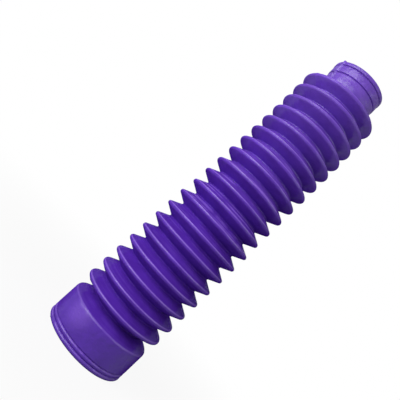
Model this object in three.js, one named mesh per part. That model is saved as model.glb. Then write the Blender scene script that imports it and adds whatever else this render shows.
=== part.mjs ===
// Fork gaiter: one moulded rubber bellows with a wide cuff for the fork slider
// and a narrow cuff for the fork tube. Millimetres, Z up along the fork leg,
// origin on the axis, in the open rim of the wide cuff.

import * as THREE from "three";

// Folds of the bellows, in a lower group and a slightly slimmer upper group
const lowerFoldCount = 8;
const upperFoldCount = 11;
const foldPitch = 10.7;
const foldDepth = 7.6;
const lowerCrestRadius = 31;
const upperCrestRadius = 30.3;
const topCrestRadius = 30;
const crestRounding = 1.5;
const valleyRounding = 0.75;
const foldWall = 1.2;

// Wide cuff, which grips the top of the fork slider
const wideBoreRadius = 28;
const wideCuffWall = 2;
const wideBandHeight = 20.1;
const wideCornerRounding = 2;
const shoulderHeight = 6.6;
const shoulderDepth = 9.4;
const rimBeadCount = 2;
const rimBeadHeight = 2.65;

// Narrow cuff, which a clamp band closes on the fork tube
const narrowBoreRadius = 18.3;
const narrowCuffWall = 2;
const neckRise = 6.1;
const neckRounding = 2;
const neckHeight = 7.7;
const clampSeatHeight = 6.4;
const clampSeatStandout = 0.3;
const lipHeight = 3.2;
const lipStandout = 0.6;

// Details that both cuffs share
const edgeRounding = 0.8;
const grooveWidth = 1.1;
const grooveDepth = 0.5;

// Fineness of the surface
const sidesRound = 24;
const foldArcSteps = 2;
const cuffArcSteps = 3;

// Sizes that follow from the ones above
const foldCount = lowerFoldCount + upperFoldCount;
const wideOuterRadius = wideBoreRadius + wideCuffWall;
const neckRadius = narrowBoreRadius + narrowCuffWall;
const clampSeatRadius = neckRadius + clampSeatStandout;
const lipRadius = neckRadius + lipStandout;
const firstValleyHeight = wideBandHeight + shoulderHeight;
const lastCrestHeight = firstValleyHeight + (foldCount - 0.5) * foldPitch;
const neckBottom = lastCrestHeight + neckRise;
const clampSeatBottom = neckBottom + neckHeight;
const lipBottom = clampSeatBottom + clampSeatHeight;
const totalHeight = lipBottom + lipHeight;

// Directions in the profile, as angles from straight out of the axis
const outwards = 0;
const upwards = Math.PI / 2;
const downwards = -Math.PI / 2;

// A profile point, by its radius from the axis and its height along it
function at(radius, height) {
  return new THREE.Vector2(radius, height);
}

// A round of the profile. Its radius is positive where the wall bulges outwards
// over it, negative where the wall dips in behind it, and zero at a sharp crease.
function round(radiusOfCentre, height, signedRadius, steps) {
  return { centre: at(radiusOfCentre, height), signedRadius, steps };
}

// The points of one round, between the directions that the wall faces at its ends
function roundPoints({ centre, signedRadius, steps }, fromAngle, toAngle) {
  if (signedRadius === 0) {
    return [centre];
  }
  const points = [];
  for (let step = 0; step <= steps; step += 1) {
    const angle = THREE.MathUtils.lerp(fromAngle, toAngle, step / steps);
    points.push(at(Math.cos(angle), Math.sin(angle)).multiplyScalar(signedRadius).add(centre));
  }
  return points;
}

// The direction that the straight wall between two rounds faces
function facingBetween(lower, upper) {
  const run = upper.centre.clone().sub(lower.centre);
  return run.angle() - Math.acos((lower.signedRadius - upper.signedRadius) / run.length());
}

// A wall that comes straight up into the first round, is drawn tight over all of
// them, and goes straight up out of the last
function wallOver(rounds) {
  const facings = [outwards];
  for (let index = 1; index < rounds.length; index += 1) {
    facings.push(facingBetween(rounds[index - 1], rounds[index]));
  }
  facings.push(outwards);
  return rounds.flatMap((each, index) => roundPoints(each, facings[index], facings[index + 1]));
}

// A V-shaped groove round the outside, between walls that may differ in radius
function ringGroove(height, radiusBelow, radiusAbove) {
  return [
    at(radiusBelow, height - grooveWidth / 2),
    at(Math.min(radiusBelow, radiusAbove) - grooveDepth, height),
    at(radiusAbove, height + grooveWidth / 2),
  ];
}

// Outside radius at the crest of a fold, counted from 0 at the wide cuff
function crestRadius(fold) {
  if (fold < lowerFoldCount) {
    return lowerCrestRadius;
  }
  const share = (fold - lowerFoldCount) / Math.max(upperFoldCount - 1, 1);
  return THREE.MathUtils.lerp(upperCrestRadius, topCrestRadius, share);
}

// Outside radius in the valley under a fold: the first lies deeper, at the shoulder's foot
function valleyRadius(fold) {
  return fold === 0 ? wideOuterRadius - shoulderDepth : crestRadius(fold) - foldDepth;
}

// The valley under each fold and its crest, all the way up, at a depth into the wall
function foldRounds(wallDepth) {
  const rounds = [];
  for (let fold = 0; fold < foldCount; fold += 1) {
    const valleyHeight = firstValleyHeight + fold * foldPitch;
    const valleyCentre = valleyRadius(fold) + valleyRounding;
    const crestHeight = valleyHeight + foldPitch / 2;
    const rounding = wallDepth > 0 ? 0 : crestRounding;
    const crestCentre = crestRadius(fold) - wallDepth - rounding;
    rounds.push(round(valleyCentre, valleyHeight, -(valleyRounding + wallDepth), foldArcSteps));
    rounds.push(round(crestCentre, crestHeight, rounding, foldArcSteps));
  }
  return rounds;
}

// Wide cuff's corner, where its band turns in to the shoulder
function wideCorner(radius, rounding) {
  return round(radius - rounding, wideBandHeight, rounding, cuffArcSteps);
}

// Foot of the narrow cuff's neck, where the last fold turns up into it
function neckFoot(wallDepth) {
  const rounding = neckRounding + wallDepth;
  return round(neckRadius + neckRounding, neckBottom, -rounding, cuffArcSteps);
}

// Open rim of the wide cuff: a flat end, a rounded edge and thin beads
function wideRim() {
  const edge = round(wideOuterRadius - edgeRounding, edgeRounding, edgeRounding, cuffArcSteps);
  const points = roundPoints(edge, downwards, outwards);
  for (let bead = 1; bead <= rimBeadCount; bead += 1) {
    points.push(...ringGroove(bead * rimBeadHeight, wideOuterRadius, wideOuterRadius));
  }
  return points;
}

// Outside of the narrow cuff above its neck: the clamp's seat between two grooves,
// and the lip that keeps the clamp on
function clampSeatAndLip() {
  const edge = round(lipRadius - edgeRounding, totalHeight - edgeRounding, edgeRounding, cuffArcSteps);
  return [
    ...ringGroove(clampSeatBottom, neckRadius, clampSeatRadius),
    ...ringGroove(lipBottom, clampSeatRadius, lipRadius),
    ...roundPoints(edge, outwards, upwards),
  ];
}

// The whole section: up the outside, over the lip and down the inside
function gaiterSection() {
  const innerCornerRounding = Math.max(wideCornerRounding - wideCuffWall, 0);
  const outerWall = wallOver([
    wideCorner(wideOuterRadius, wideCornerRounding),
    ...foldRounds(0),
    neckFoot(0),
  ]);
  const innerWall = wallOver([
    wideCorner(wideBoreRadius, innerCornerRounding),
    ...foldRounds(foldWall),
    neckFoot(narrowCuffWall),
  ]);
  return [
    at(wideBoreRadius, 0),
    ...wideRim(),
    ...outerWall,
    ...clampSeatAndLip(),
    at(narrowBoreRadius, totalHeight),
    ...innerWall.reverse(),
    at(wideBoreRadius, 0),
  ];
}

function gaiterMesh() {
  const geometry = new THREE.LatheGeometry(gaiterSection(), sidesRound);
  geometry.rotateX(Math.PI / 2);
  const rubber = new THREE.MeshStandardMaterial({ color: 0x55309e, roughness: 0.42, metalness: 0 });
  const mesh = new THREE.Mesh(geometry, rubber);
  mesh.name = "gaiter";
  return mesh;
}

const forkGaiter = new THREE.Group();
forkGaiter.add(gaiterMesh());

export default forkGaiter;
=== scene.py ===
"""Looks of the fork gaiter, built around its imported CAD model."""

import math

import bmesh
import bpy
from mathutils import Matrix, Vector


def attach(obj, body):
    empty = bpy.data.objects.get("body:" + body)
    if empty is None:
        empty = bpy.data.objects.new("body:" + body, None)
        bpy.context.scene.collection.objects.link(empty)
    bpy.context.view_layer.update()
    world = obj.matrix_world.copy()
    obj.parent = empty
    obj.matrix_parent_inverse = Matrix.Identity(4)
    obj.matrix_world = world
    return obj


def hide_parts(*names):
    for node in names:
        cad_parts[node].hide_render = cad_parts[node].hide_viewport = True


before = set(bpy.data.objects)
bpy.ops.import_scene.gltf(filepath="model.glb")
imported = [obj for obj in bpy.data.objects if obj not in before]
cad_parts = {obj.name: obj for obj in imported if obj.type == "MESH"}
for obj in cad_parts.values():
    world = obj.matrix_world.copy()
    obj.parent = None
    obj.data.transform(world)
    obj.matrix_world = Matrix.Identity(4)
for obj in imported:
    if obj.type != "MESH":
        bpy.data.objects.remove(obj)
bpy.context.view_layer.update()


# ---------------------------------------------------------------------------
# Gaiter: one compression moulding of soft rubber, dyed violet right through. Its half section is
# drawn as a wire, each round spun about its own centre, and the wire is spun about the fork's
# axis. The mould opens along the axis, so its two parting lines stand up the gaiter as thin flash.
# ---------------------------------------------------------------------------

MM = 0.001

LOWER_FOLDS = 8
FOLDS = 19
FOLD_PITCH = 10.7 * MM
FOLD_DEPTH = 7.6 * MM
LOWER_CREST = 31 * MM
UPPER_CREST = 30.3 * MM
TOP_CREST = 30 * MM
CREST_ROUND = 1.5 * MM
VALLEY_ROUND = 0.75 * MM
FOLD_WALL = 1.2 * MM

WIDE_BORE = 28 * MM
WIDE_OUTSIDE = 30 * MM
BAND_TOP = 20.1 * MM
WIDE_CORNER = 2 * MM
BEADS = 2
BEAD_PITCH = 2.65 * MM
BEAD_ROUND = 1.45 * MM
BAND_FOOT_ROUND = 0.5 * MM
BAND_FOOT_RISE = 0.8 * MM
FIRST_VALLEY = 20.6 * MM
FIRST_VALLEY_HEIGHT = 26.7 * MM

NARROW_BORE = 18.3 * MM
NECK = 20.3 * MM
CLAMP_SEAT = 20.6 * MM
LIP = 20.9 * MM
NECK_RISE = 6.1 * MM
NECK_ROUND = 2 * MM
FIRST_GROOVE_HEIGHT = 238.45 * MM
SECOND_GROOVE_HEIGHT = 244.85 * MM
TOP = 248.05 * MM
LIP_ROUND = 0.8 * MM

GROOVE_DEPTH = 0.7 * MM
GROOVE_ROUND = 0.15 * MM
GROOVE_SHOULDER = 0.4 * MM
GROOVE_REACH = 0.75 * MM
BORE_EDGE = 0.3 * MM

# Steps that each round is drawn in, as finely as it shows.
BEAD_STEPS = 8
CREST_STEPS = 8
VALLEY_STEPS = 5
NECK_STEPS = 6
LIP_STEPS = 5
FINE_STEPS = 3
INNER_CREST_STEPS = 2

COLUMNS_PER_HALF = 84
WELD_DISTANCE = 0.01 * MM
SHARPEST_SMOOTH_EDGE = math.radians(50)
PARTING_LINE = math.radians(-147)
FLASH_WIDTH = math.radians(9)
FLASH_COLUMNS = 4
FLASH_FOOT = 0.3 * FLASH_WIDTH
FLASH_RIDGE = 0.1 * FLASH_WIDTH
LEAST_OUTWARD_FACING = 0.1
LOWEST_FLASH = 0.3 * MM
FLASH_HEIGHT = 0.2 * MM
NECK_FLASH_HEIGHT = 0.9 * MM

BENT_VALLEYS = range(13, 18)
BEND_PER_VALLEY = math.radians(0.55)

OUTWARDS = 0.0
UPWARDS = math.pi / 2
INWARDS = math.pi


def facing_between(lower, upper):
    """The direction that the straight wall between two rounds faces."""
    along, up = upper[0] - lower[0], upper[1] - lower[1]
    return math.atan2(up, along) - math.acos((lower[2] - upper[2]) / math.hypot(along, up))


def spot_on(rounding, facing):
    radius, height, signed_round, _ = rounding
    return radius + signed_round * math.cos(facing), height + signed_round * math.sin(facing)


def start_wire(radius, height):
    bpy.ops.object.select_all(action="DESELECT")
    bpy.ops.mesh.primitive_plane_add(size=MM)
    bpy.ops.object.mode_set(mode="EDIT")
    bpy.ops.mesh.merge(type="CENTER")
    bpy.ops.transform.translate(value=(radius, 0, height))
    return [radius, height]


def line_to(tip, radius, height):
    step = (radius - tip[0], 0, height - tip[1])
    bpy.ops.mesh.extrude_vertices_move(TRANSFORM_OT_translate={"value": step})
    tip[:] = radius, height


def spin_round(tip, rounding, begin, end):
    radius, height, _, steps = rounding
    bpy.ops.mesh.spin(steps=steps, angle=end - begin, center=(radius, 0, height), axis=(0, 1, 0))
    tip[:] = spot_on(rounding, end)


def draw_wall(tip, rounds, first_facing, last_facing, downwards=False):
    """Draws a wall tight over rounds that are listed upwards, if wished from its top down."""
    facings = [first_facing]
    for lower, upper in zip(rounds, rounds[1:]):
        facings.append(facing_between(lower, upper))
    facings.append(last_facing)
    spans = [(rounding, begin, end) for rounding, begin, end in zip(rounds, facings, facings[1:])]
    if downwards:
        spans = [(rounding, end, begin) for rounding, begin, end in reversed(spans)]
    for rounding, begin, end in spans:
        line_to(tip, *spot_on(rounding, begin))
        spin_round(tip, rounding, begin, end)


def crest_radius(fold):
    if fold < LOWER_FOLDS:
        return LOWER_CREST
    share = (fold - LOWER_FOLDS) / (FOLDS - LOWER_FOLDS - 1)
    return UPPER_CREST + (TOP_CREST - UPPER_CREST) * share


def fold_rounds(depth, crest_steps, valley_steps):
    """The valley under each fold and its crest, at a depth into the wall."""
    rounds = []
    crest_round = CREST_ROUND - depth
    for fold in range(FOLDS):
        height = FIRST_VALLEY_HEIGHT + fold * FOLD_PITCH
        valley = FIRST_VALLEY if fold == 0 else crest_radius(fold) - FOLD_DEPTH
        rounds.append((valley + VALLEY_ROUND, height, -(VALLEY_ROUND + depth), valley_steps))
        crest_centre = crest_radius(fold) - CREST_ROUND
        rounds.append((crest_centre, height + FOLD_PITCH / 2, crest_round, crest_steps))
    return rounds


def groove_rounds(height, below, above):
    """A ring groove between soft shoulders, where the outside steps from one radius to another."""
    bottom = min(below, above) - GROOVE_DEPTH
    return [
        (below - GROOVE_SHOULDER, height - GROOVE_REACH, GROOVE_SHOULDER, FINE_STEPS),
        (bottom + GROOVE_ROUND, height, -GROOVE_ROUND, FINE_STEPS),
        (above - GROOVE_SHOULDER, height + GROOVE_REACH, GROOVE_SHOULDER, FINE_STEPS),
    ]


def rim_rounds():
    """The two beads at the open rim of the wide cuff, each with the groove above it."""
    rounds = []
    bead_centre = WIDE_OUTSIDE - BEAD_ROUND
    groove_centre = WIDE_OUTSIDE - GROOVE_DEPTH + GROOVE_ROUND
    for bead in range(BEADS):
        rounds.append((bead_centre, (bead + 0.5) * BEAD_PITCH, BEAD_ROUND, BEAD_STEPS))
        rounds.append((groove_centre, (bead + 1) * BEAD_PITCH, -GROOVE_ROUND, FINE_STEPS))
    band_foot = BEADS * BEAD_PITCH + BAND_FOOT_RISE
    rounds.append((WIDE_OUTSIDE - BAND_FOOT_ROUND, band_foot, BAND_FOOT_ROUND, FINE_STEPS))
    return rounds


def spin_on(angle, steps):
    bpy.ops.mesh.spin(steps=steps, angle=angle, center=(0, 0, 0), axis=(0, 0, -1))


def select_points(mesh, wanted):
    """Selects the vertices that the test takes."""
    bpy.ops.mesh.select_mode(type="VERT")
    bpy.ops.mesh.select_all(action="DESELECT")
    points = bmesh.from_edit_mesh(mesh)
    for point in points.verts:
        point.select = wanted(point)
    points.select_flush_mode()
    bmesh.update_edit_mesh(mesh)


neck_foot = FIRST_VALLEY_HEIGHT + (FOLDS - 0.5) * FOLD_PITCH + NECK_RISE
outside = [
    *rim_rounds(),
    (WIDE_OUTSIDE - WIDE_CORNER, BAND_TOP, WIDE_CORNER, BEAD_STEPS),
    *fold_rounds(0, CREST_STEPS, VALLEY_STEPS),
    (NECK + NECK_ROUND, neck_foot, -NECK_ROUND, NECK_STEPS),
    *groove_rounds(FIRST_GROOVE_HEIGHT, NECK, CLAMP_SEAT),
    *groove_rounds(SECOND_GROOVE_HEIGHT, CLAMP_SEAT, LIP),
    (LIP - LIP_ROUND, TOP - LIP_ROUND, LIP_ROUND, LIP_STEPS),
]
inside = [
    (WIDE_BORE - BORE_EDGE, BAND_TOP, BORE_EDGE, FINE_STEPS),
    *fold_rounds(FOLD_WALL, INNER_CREST_STEPS, FINE_STEPS),
    (NECK + NECK_ROUND, neck_foot, -(NECK + NECK_ROUND - NARROW_BORE), NECK_STEPS),
]
lower_bore_edge = (WIDE_BORE + BORE_EDGE, BORE_EDGE, -BORE_EDGE, FINE_STEPS)
upper_bore_edge = (NARROW_BORE + BORE_EDGE, TOP - BORE_EDGE, BORE_EDGE, FINE_STEPS)
rim_facing = -math.asin(0.5 * BEAD_PITCH / BEAD_ROUND)

tip = start_wire(WIDE_BORE, BORE_EDGE)
spin_round(tip, lower_bore_edge, OUTWARDS, UPWARDS)
draw_wall(tip, outside, rim_facing, UPWARDS)
line_to(tip, *spot_on(upper_bore_edge, UPWARDS))
spin_round(tip, upper_bore_edge, UPWARDS, INWARDS)
draw_wall(tip, inside, OUTWARDS, OUTWARDS, downwards=True)
line_to(tip, WIDE_BORE, BORE_EDGE)

gaiter = bpy.context.object
gaiter.name = "gaiter_rubber"
bpy.ops.mesh.select_all(action="SELECT")
for half in range(2):
    spin_on(FLASH_WIDTH, FLASH_COLUMNS)
    spin_on(math.pi - FLASH_WIDTH, COLUMNS_PER_HALF)
bpy.ops.mesh.select_all(action="SELECT")
bpy.ops.mesh.remove_doubles(threshold=WELD_DISTANCE)
bpy.ops.mesh.normals_make_consistent(inside=False)


def near_parting_line(point, reach):
    """Whether a point of the outer wall stands within an angle of one of the two lines."""
    across = Vector((-math.sin(FLASH_WIDTH / 2), math.cos(FLASH_WIDTH / 2), 0))
    outwards = Vector((point.co.x, point.co.y, 0)).normalized()
    on_outside = point.normal.dot(outwards) > LEAST_OUTWARD_FACING
    return on_outside and abs(outwards.dot(across)) < math.sin(reach)


# The flash is raised once with the columns beside its middle, and once more in its middle.
for reach in (FLASH_FOOT, FLASH_RIDGE):
    for bottom, top, flash in (
        (LOWEST_FLASH, neck_foot, FLASH_HEIGHT),
        (neck_foot, TOP + NECK_FLASH_HEIGHT, NECK_FLASH_HEIGHT),
    ):
        select_points(
            gaiter.data,
            lambda point: bottom < point.co.z < top and near_parting_line(point, reach),
        )
        bpy.ops.transform.shrink_fatten(value=flash / 2)

bpy.ops.mesh.select_all(action="SELECT")
bpy.ops.transform.rotate(
    value=-(PARTING_LINE - FLASH_WIDTH / 2), orient_axis="Z", center_override=(0, 0, 0)
)
bpy.ops.object.mode_set(mode="OBJECT")
gaiter.data.attributes.new("moulded_place", "FLOAT_VECTOR", "POINT")
gaiter.data.attributes.new("narrow_facing", "FLOAT", "POINT")
places = gaiter.data.attributes["moulded_place"].data
facings = gaiter.data.attributes["narrow_facing"].data
for vertex in gaiter.data.vertices:
    places[vertex.index].vector = vertex.co
    facings[vertex.index].value = vertex.normal.z
bpy.ops.object.mode_set(mode="EDIT")

for valley in BENT_VALLEYS:
    hinge = FIRST_VALLEY_HEIGHT + valley * FOLD_PITCH
    place_layer = bmesh.from_edit_mesh(gaiter.data).verts.layers.float_vector["moulded_place"]
    select_points(gaiter.data, lambda point: point[place_layer].z > hinge)
    bpy.ops.transform.rotate(
        value=BEND_PER_VALLEY, orient_axis="Y", center_override=(0, 0, hinge)
    )
bpy.ops.object.mode_set(mode="OBJECT")
bpy.ops.object.shade_smooth_by_angle(angle=SHARPEST_SMOOTH_EDGE)

# Rubber: violet right through, under the glossy skin that a polished mould leaves. The skin
# mirrors less at a slant than a lacquer would.
VIOLET = (0.080, 0.0215, 0.345, 1)
DEEP_VIOLET = (0.066, 0.0165, 0.290, 1)
# Pale violet of the painted highlights, glints, sheen and reflection.
PAINTED_LIGHT_VIOLET = (0.262, 0.133, 0.620, 1)
RUBBER_ROUGHNESS = 0.5
SKIN_ROUGHNESS = 0.17

rubber = bpy.data.materials.new("violet_rubber")
rubber.use_nodes = True
nodes, links = rubber.node_tree.nodes, rubber.node_tree.links
shader = nodes["Principled BSDF"]
shader.inputs["Roughness"].default_value = RUBBER_ROUGHNESS
shader.inputs["Specular IOR Level"].default_value = 0.0
shader.inputs["Coat Roughness"].default_value = SKIN_ROUGHNESS


def node(kind, **settings):
    new = nodes.new(kind)
    for name, value in settings.items():
        setattr(new, name, value)
    return new


def noise_at(place, scale, detail):
    """Even noise of a scale, with a number of finer noises laid over it."""
    texture = node("ShaderNodeTexNoise")
    texture.inputs["Scale"].default_value = scale
    texture.inputs["Detail"].default_value = detail
    links.new(place, texture.inputs["Vector"])
    return texture.outputs["Fac"]


def eased(value, span, at_low=0.0, at_high=1.0):
    """A value eased from one level to another over a span of its own."""
    ramp = node("ShaderNodeMapRange", interpolation_type="SMOOTHSTEP")
    levels = {"From Min": span[0], "From Max": span[1], "To Min": at_low, "To Max": at_high}
    for name, level in levels.items():
        ramp.inputs[name].default_value = level
    links.new(value, ramp.inputs["Value"])
    return ramp.outputs["Result"]


def joined(operation, first, second):
    combined = node("ShaderNodeMath", operation=operation)
    links.new(first, combined.inputs[0])
    links.new(second, combined.inputs[1])
    return combined.outputs["Value"]


def times(first, second):
    return joined("MULTIPLY", first, second)


def larger(first, second):
    return joined("MAXIMUM", first, second)


def bump(height, depth, under=None):
    relief = node("ShaderNodeBump")
    relief.inputs["Distance"].default_value = depth
    links.new(height, relief.inputs["Height"])
    if under:
        links.new(under, relief.inputs["Normal"])
    return relief.outputs["Normal"]


# Where a point was before the gaiter was bent: its place, its distance from the axis, its height,
# and its place in the half section, which is the same all the way round.
place = node("ShaderNodeAttribute", attribute_name="moulded_place").outputs["Vector"]
parts = node("ShaderNodeSeparateXYZ")
links.new(place, parts.inputs["Vector"])
height = parts.outputs["Z"]
across = node("ShaderNodeCombineXYZ")
links.new(parts.outputs["X"], across.inputs["X"])
links.new(parts.outputs["Y"], across.inputs["Y"])
length_across = node("ShaderNodeVectorMath", operation="LENGTH")
links.new(across.outputs["Vector"], length_across.inputs[0])
radius = length_across.outputs["Value"]
section_place = node("ShaderNodeCombineXYZ")
links.new(radius, section_place.inputs["X"])
links.new(height, section_place.inputs["Z"])
section = section_place.outputs["Vector"]

# How far a side faces the narrow cuff, from -1 to 1.
facing = node("ShaderNodeAttribute", attribute_name="narrow_facing").outputs["Fac"]

# Heights between which the finish changes.
BEADS_END = (6 * MM, 10 * MM)
BAND_ENDS = (19 * MM, 22 * MM)
CUFF_GLOSS_ENDS = (20 * MM, 26 * MM)
SHOULDER = (15 * MM, 30 * MM)
MARKS_START = (80 * MM, 130 * MM)
GLOSS_RISES = (90 * MM, 200 * MM)
SLANT_FADES = (90 * MM, 160 * MM)
MARKED_SHEEN = (100 * MM, 160 * MM)
FOLD_SHEEN = (120 * MM, 240 * MM)
DARK_SIDES_GLOSS = (140 * MM, 200 * MM)
NARROW_CUFF = (227 * MM, 234 * MM)

# The violet is a little uneven. Each noise is given by its scale and its number of finer noises.
UNEVENNESS = (60, 4)
WHOLE_NOISE = (0.3, 0.7)

colour = node("ShaderNodeMix", data_type="RGBA")
colour.inputs[6].default_value = DEEP_VIOLET
colour.inputs[7].default_value = VIOLET
links.new(eased(noise_at(place, *UNEVENNESS), WHOLE_NOISE), colour.inputs["Factor"])

# Painted highlight: crests and beads are painted paler on the side that faces the narrow cuff,
# and the wide cuff's corner a little.
HIGHLIGHT_FACING = (0.1, 0.45)
HIGHLIGHT_END_FACING = (0.62, 0.84)
HIGHLIGHT_RADIUS = (27.5 * MM, 29 * MM)
HIGHLIGHT_PALENESS = 0.52
BEAD_GLINTS = (150, 2)
BEAD_GLINT_SPAN = (0.4, 0.6)
LEAST_BEAD_GLINT = 0.4
CORNER_HIGHLIGHT = 0.2

painted_highlight = times(eased(facing, HIGHLIGHT_FACING), eased(facing, HIGHLIGHT_END_FACING, HIGHLIGHT_PALENESS, 0))
painted_highlight = times(painted_highlight, eased(radius, HIGHLIGHT_RADIUS))
# The beads' painted highlight is broken up by noise.
bead_glints = eased(noise_at(place, *BEAD_GLINTS), BEAD_GLINT_SPAN, LEAST_BEAD_GLINT, 1)
bead_highlight = times(eased(height, BEADS_END, 1, 0), bead_glints)
painted_highlight = times(painted_highlight, larger(bead_highlight, eased(height, SHOULDER, CORNER_HIGHLIGHT, 1)))

# Painted glints: the mould's turning marks are painted as broken pale rings on the same sides
# of the folds.
MARKED_FACING = (0.3, 0.7)
FAINTEST_MARKS = 0.1
BREAKS = (80, 2)
BREAK_SPAN = (0.36, 0.62)
GLINT_RINGS = (420, 4)
GLINT_SPAN = (0.50, 0.60)
GLINT_PALENESS = 0.75

turned = times(eased(facing, MARKED_FACING), eased(height, MARKS_START, FAINTEST_MARKS, 1))
glint_breaks = times(turned, eased(noise_at(place, *BREAKS), BREAK_SPAN))
painted_glints = eased(noise_at(section, *GLINT_RINGS), GLINT_SPAN, 0, GLINT_PALENESS)
painted_highlight = larger(painted_highlight, times(painted_glints, glint_breaks))

# Painted sheen: a pale haze of light is painted on the upper folds, more so on the sides that
# show the marks, and most of all on the narrow cuff, in patches there.
SHEEN_FACING = (0.2, 0.6)
FOLD_PALENESS = 0.22
BRIGHT_SIDE_SHARE = 0.8
MARKED_PALENESS = 0.2
CUFF_SHEEN_PATCHES = (130, 3)
LEAST_CUFF_PALENESS = 0.12
CUFF_PALENESS = 0.33

painted_sheen = eased(height, FOLD_SHEEN, 0, FOLD_PALENESS)
painted_sheen = times(painted_sheen, eased(facing, SHEEN_FACING, 1, BRIGHT_SIDE_SHARE))
painted_sheen = larger(painted_sheen, times(turned, eased(height, MARKED_SHEEN, 0, MARKED_PALENESS)))
on_narrow_cuff = eased(height, NARROW_CUFF)
cuff_sheen = eased(noise_at(place, *CUFF_SHEEN_PATCHES), WHOLE_NOISE, LEAST_CUFF_PALENESS, CUFF_PALENESS)
painted_sheen = larger(painted_sheen, times(on_narrow_cuff, cuff_sheen))

# Painted reflection: the wide cuff has a paler patch painted at its corner, as a bright light's
# reflection.
REFLECTION_SPOT = (-14 * MM, -26.5 * MM, 17.5 * MM)
REFLECTION_REACH = (2 * MM, 13 * MM)
REFLECTION_FACING = (0.05, 0.4)
REFLECTION_PALENESS = 0.24

from_reflection_spot = node("ShaderNodeVectorMath", operation="DISTANCE")
from_reflection_spot.inputs[1].default_value = REFLECTION_SPOT
links.new(place, from_reflection_spot.inputs[0])
painted_reflection = eased(from_reflection_spot.outputs["Value"], REFLECTION_REACH, REFLECTION_PALENESS, 0)
painted_sheen = larger(painted_sheen, times(painted_reflection, eased(facing, REFLECTION_FACING, 1, 0)))

# The painted highlights, glints, sheen and reflection mix the pale violet in.
paler = node("ShaderNodeMix", data_type="RGBA")
paler.inputs[7].default_value = PAINTED_LIGHT_VIOLET
links.new(larger(painted_highlight, painted_sheen), paler.inputs["Factor"])
links.new(colour.outputs[2], paler.inputs[6])
links.new(paler.outputs[2], shader.inputs["Base Color"])

# The skin shines most on the cuffs and down in the upper valleys, where nothing rubs it. The
# lower valleys are dull, and so are the sides that face the wide cuff, most of all low down.
VALLEY_RADIUS = (24.5 * MM, 26.2 * MM)
DARK_FACING = (-0.6, -0.1)
WIDE_CUFF_GLOSS = 0.5
LOWER_GLOSS, UPPER_GLOSS = 0.36, 0.48
LOWER_VALLEY_LOSS, UPPER_VALLEY_GAIN = -0.27, 0.25
NARROW_CUFF_SHARE = 0.72
LOWER_DARK_SHARE, UPPER_DARK_SHARE = 0.4, 0.75

in_valley = eased(radius, VALLEY_RADIUS, 1, 0)
valley_gloss = eased(height, GLOSS_RISES, LOWER_VALLEY_LOSS, UPPER_VALLEY_GAIN)
gloss = larger(
    eased(height, CUFF_GLOSS_ENDS, WIDE_CUFF_GLOSS, 0),
    eased(height, GLOSS_RISES, LOWER_GLOSS, UPPER_GLOSS),
)
gloss = joined("ADD", times(in_valley, valley_gloss), gloss)
gloss = times(gloss, eased(height, NARROW_CUFF, 1, NARROW_CUFF_SHARE))
dark_share = larger(
    eased(facing, DARK_FACING, LOWER_DARK_SHARE, 1),
    eased(height, DARK_SIDES_GLOSS, 0, UPPER_DARK_SHARE),
)
gloss = times(gloss, dark_share)

# What is seen at a slant loses its shine, and loses least of it on the narrow cuff.
SEEN_SLANT = (0.3, 0.8)
SLANT_FACING = (-0.2, 0.5)
SLANT_SHARE = 0.2
LOWER_SLANT_SHARE = 0.2
CUFF_SLANT_SHARE = 0.45

slant = node("ShaderNodeLayerWeight")
slant.inputs["Blend"].default_value = 0.5
seen_gloss = eased(slant.outputs["Facing"], SEEN_SLANT, 1, 0)
at_a_slant = eased(facing, SLANT_FACING, 0, SLANT_SHARE)
at_a_slant = times(at_a_slant, eased(height, SLANT_FADES, LOWER_SLANT_SHARE, 1))
at_a_slant = larger(at_a_slant, eased(height, NARROW_CUFF, 0, CUFF_SLANT_SHARE))
links.new(at_a_slant, seen_gloss.node.inputs["To Max"])
links.new(times(gloss, seen_gloss), shader.inputs["Coat Weight"])

# Relief of the skin, each noise with its depth: the turning marks, long and short waves of the
# soft wall, the dents of the cuffs, and the rubber's grain.
TURNED_RINGS, RING_DEPTH = (700, 3), 0.4 * MM
LONG_WAVES, LONG_WAVE_DEPTH = (110, 2), 0.5 * MM
SHORT_WAVES, SHORT_WAVE_DEPTH = (320, 3), 0.2 * MM
CUFF_DENTS, DENT_DEPTH = (260, 3), 0.6 * MM
GRAIN, GRAIN_DEPTH = (900, 3), 0.02 * MM

skin = bump(times(noise_at(section, *TURNED_RINGS), turned), RING_DEPTH)
skin = bump(noise_at(place, *LONG_WAVES), LONG_WAVE_DEPTH, skin)
skin = bump(noise_at(place, *SHORT_WAVES), SHORT_WAVE_DEPTH, skin)
on_cuffs = larger(on_narrow_cuff, eased(height, BAND_ENDS, 1, 0))
skin = bump(times(noise_at(place, *CUFF_DENTS), on_cuffs), DENT_DEPTH, skin)
skin = bump(noise_at(place, *GRAIN), GRAIN_DEPTH, skin)
links.new(skin, shader.inputs["Normal"])
links.new(skin, shader.inputs["Coat Normal"])

gaiter.data.materials.append(rubber)
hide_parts("gaiter")
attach(gaiter, "root")


# ---------------------------------------------------------------------------
# Floor: a pale sheet that the gaiter stands on by its wide rim. It fades to the white of the
# surroundings away from the gaiter, so that only the soft shadow shows.
# ---------------------------------------------------------------------------

SHEET_RADIUS = 3.0
PAPER_GREY = (0.65, 0.65, 0.65, 1)
FADE_START, FADE_END = 0.05, 0.35
LEAST_FADE = 0.92

bpy.ops.object.select_all(action="DESELECT")
bpy.ops.mesh.primitive_circle_add(
    vertices=64, radius=SHEET_RADIUS, fill_type="NGON", location=(0, 0, 0)
)
floor = bpy.context.object
floor.name = "floor"

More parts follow.
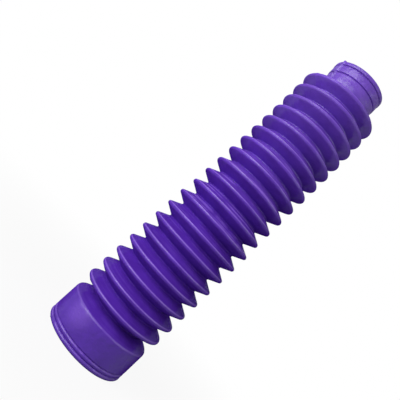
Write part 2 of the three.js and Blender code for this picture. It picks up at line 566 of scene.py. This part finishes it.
paper = bpy.data.materials.new("pale_paper")
paper.use_nodes = True
nodes, links = paper.node_tree.nodes, paper.node_tree.links
sheet = nodes["Principled BSDF"]
sheet.inputs["Base Color"].default_value = PAPER_GREY
sheet.inputs["Roughness"].default_value = 0.9
sheet.inputs["Specular IOR Level"].default_value = 0
white = node("ShaderNodeEmission")
coordinates = node("ShaderNodeTexCoord")
distance = node("ShaderNodeVectorMath", operation="LENGTH")
links.new(coordinates.outputs["Object"], distance.inputs[0])
fade = eased(distance.outputs["Value"], (FADE_START, FADE_END), LEAST_FADE, 1)
seen_paper = node("ShaderNodeMixShader")
links.new(fade, seen_paper.inputs["Fac"])
links.new(sheet.outputs["BSDF"], seen_paper.inputs[1])
links.new(white.outputs["Emission"], seen_paper.inputs[2])


def seen_ray():
    """1 for a ray from the camera and for one that a glossy or clear surface sends on."""
    path = node("ShaderNodeLightPath")
    straight_or_mirrored = larger(path.outputs["Is Camera Ray"], path.outputs["Is Glossy Ray"])
    return larger(straight_or_mirrored, path.outputs["Is Transmission Ray"])


paper_or_light = node("ShaderNodeMixShader")
links.new(seen_ray(), paper_or_light.inputs["Fac"])
links.new(sheet.outputs["BSDF"], paper_or_light.inputs[1])
links.new(seen_paper.outputs["Shader"], paper_or_light.inputs[2])
links.new(paper_or_light.outputs["Shader"], nodes["Material Output"].inputs["Surface"])
floor.data.materials.append(paper)


# ---------------------------------------------------------------------------
# Surroundings: a room that is plain white where it is seen and sheds an even, faint light on the
# gaiter, softboxes that light it mostly from the left, and the camera.
# ---------------------------------------------------------------------------

ROOM_LIGHT = 0.015

room = bpy.data.worlds.new("studio")
bpy.context.scene.world = room
room.use_nodes = True
nodes, links = room.node_tree.nodes, room.node_tree.links
white_when_seen = node("ShaderNodeMapRange")
white_when_seen.inputs["To Min"].default_value = ROOM_LIGHT
white_when_seen.inputs["To Max"].default_value = 1.0
links.new(seen_ray(), white_when_seen.inputs["Value"])
nodes["Background"].inputs["Color"].default_value = (1, 1, 1, 1)
links.new(white_when_seen.outputs["Result"], nodes["Background"].inputs["Strength"])

# Softboxes, each aimed at the middle of the gaiter.
MIDDLE = Vector((0, 0, 0.14))


def softbox(name, place, size, power):
    bpy.ops.object.light_add(type="AREA", location=place)
    lamp = bpy.context.object
    lamp.name = name
    lamp.rotation_euler = (Vector(place) - MIDDLE).to_track_quat("Z", "Y").to_euler()
    lamp.data.shape = "DISK"
    lamp.data.size = size
    lamp.data.energy = power


softbox("left_softbox", (-0.66, -0.6, 0.55), 0.6, 4.2)
softbox("far_left_softbox", (-0.76, -0.3, 0.36), 0.6, 2.6)
softbox("low_left_softbox", (-0.5, -0.4, 0.1), 0.5, 1.0)
softbox("front_softbox", (-0.13, -0.35, 0.28), 0.3, 0.72)
softbox("right_softbox", (0.31, -0.15, 0.25), 0.3, 0.42)
softbox("back_softbox", (0, 0.8, 0.14), 0.6, 4)

# Camera, at the photograph's place and angle.
bpy.ops.object.camera_add(
    location=(-0.00031, -0.28488, 0.09497), rotation=(1.79410, -0.81813, -0.12405)
)
camera = bpy.context.object
camera.name = "camera"
camera.data.lens = 38.857
camera.data.sensor_width = 36
camera.data.shift_x = -0.0907
camera.data.shift_y = -0.0523
camera.data.clip_start = 0.01
bpy.context.scene.camera = camera
bpy.context.scene.view_settings.view_transform = "Standard"
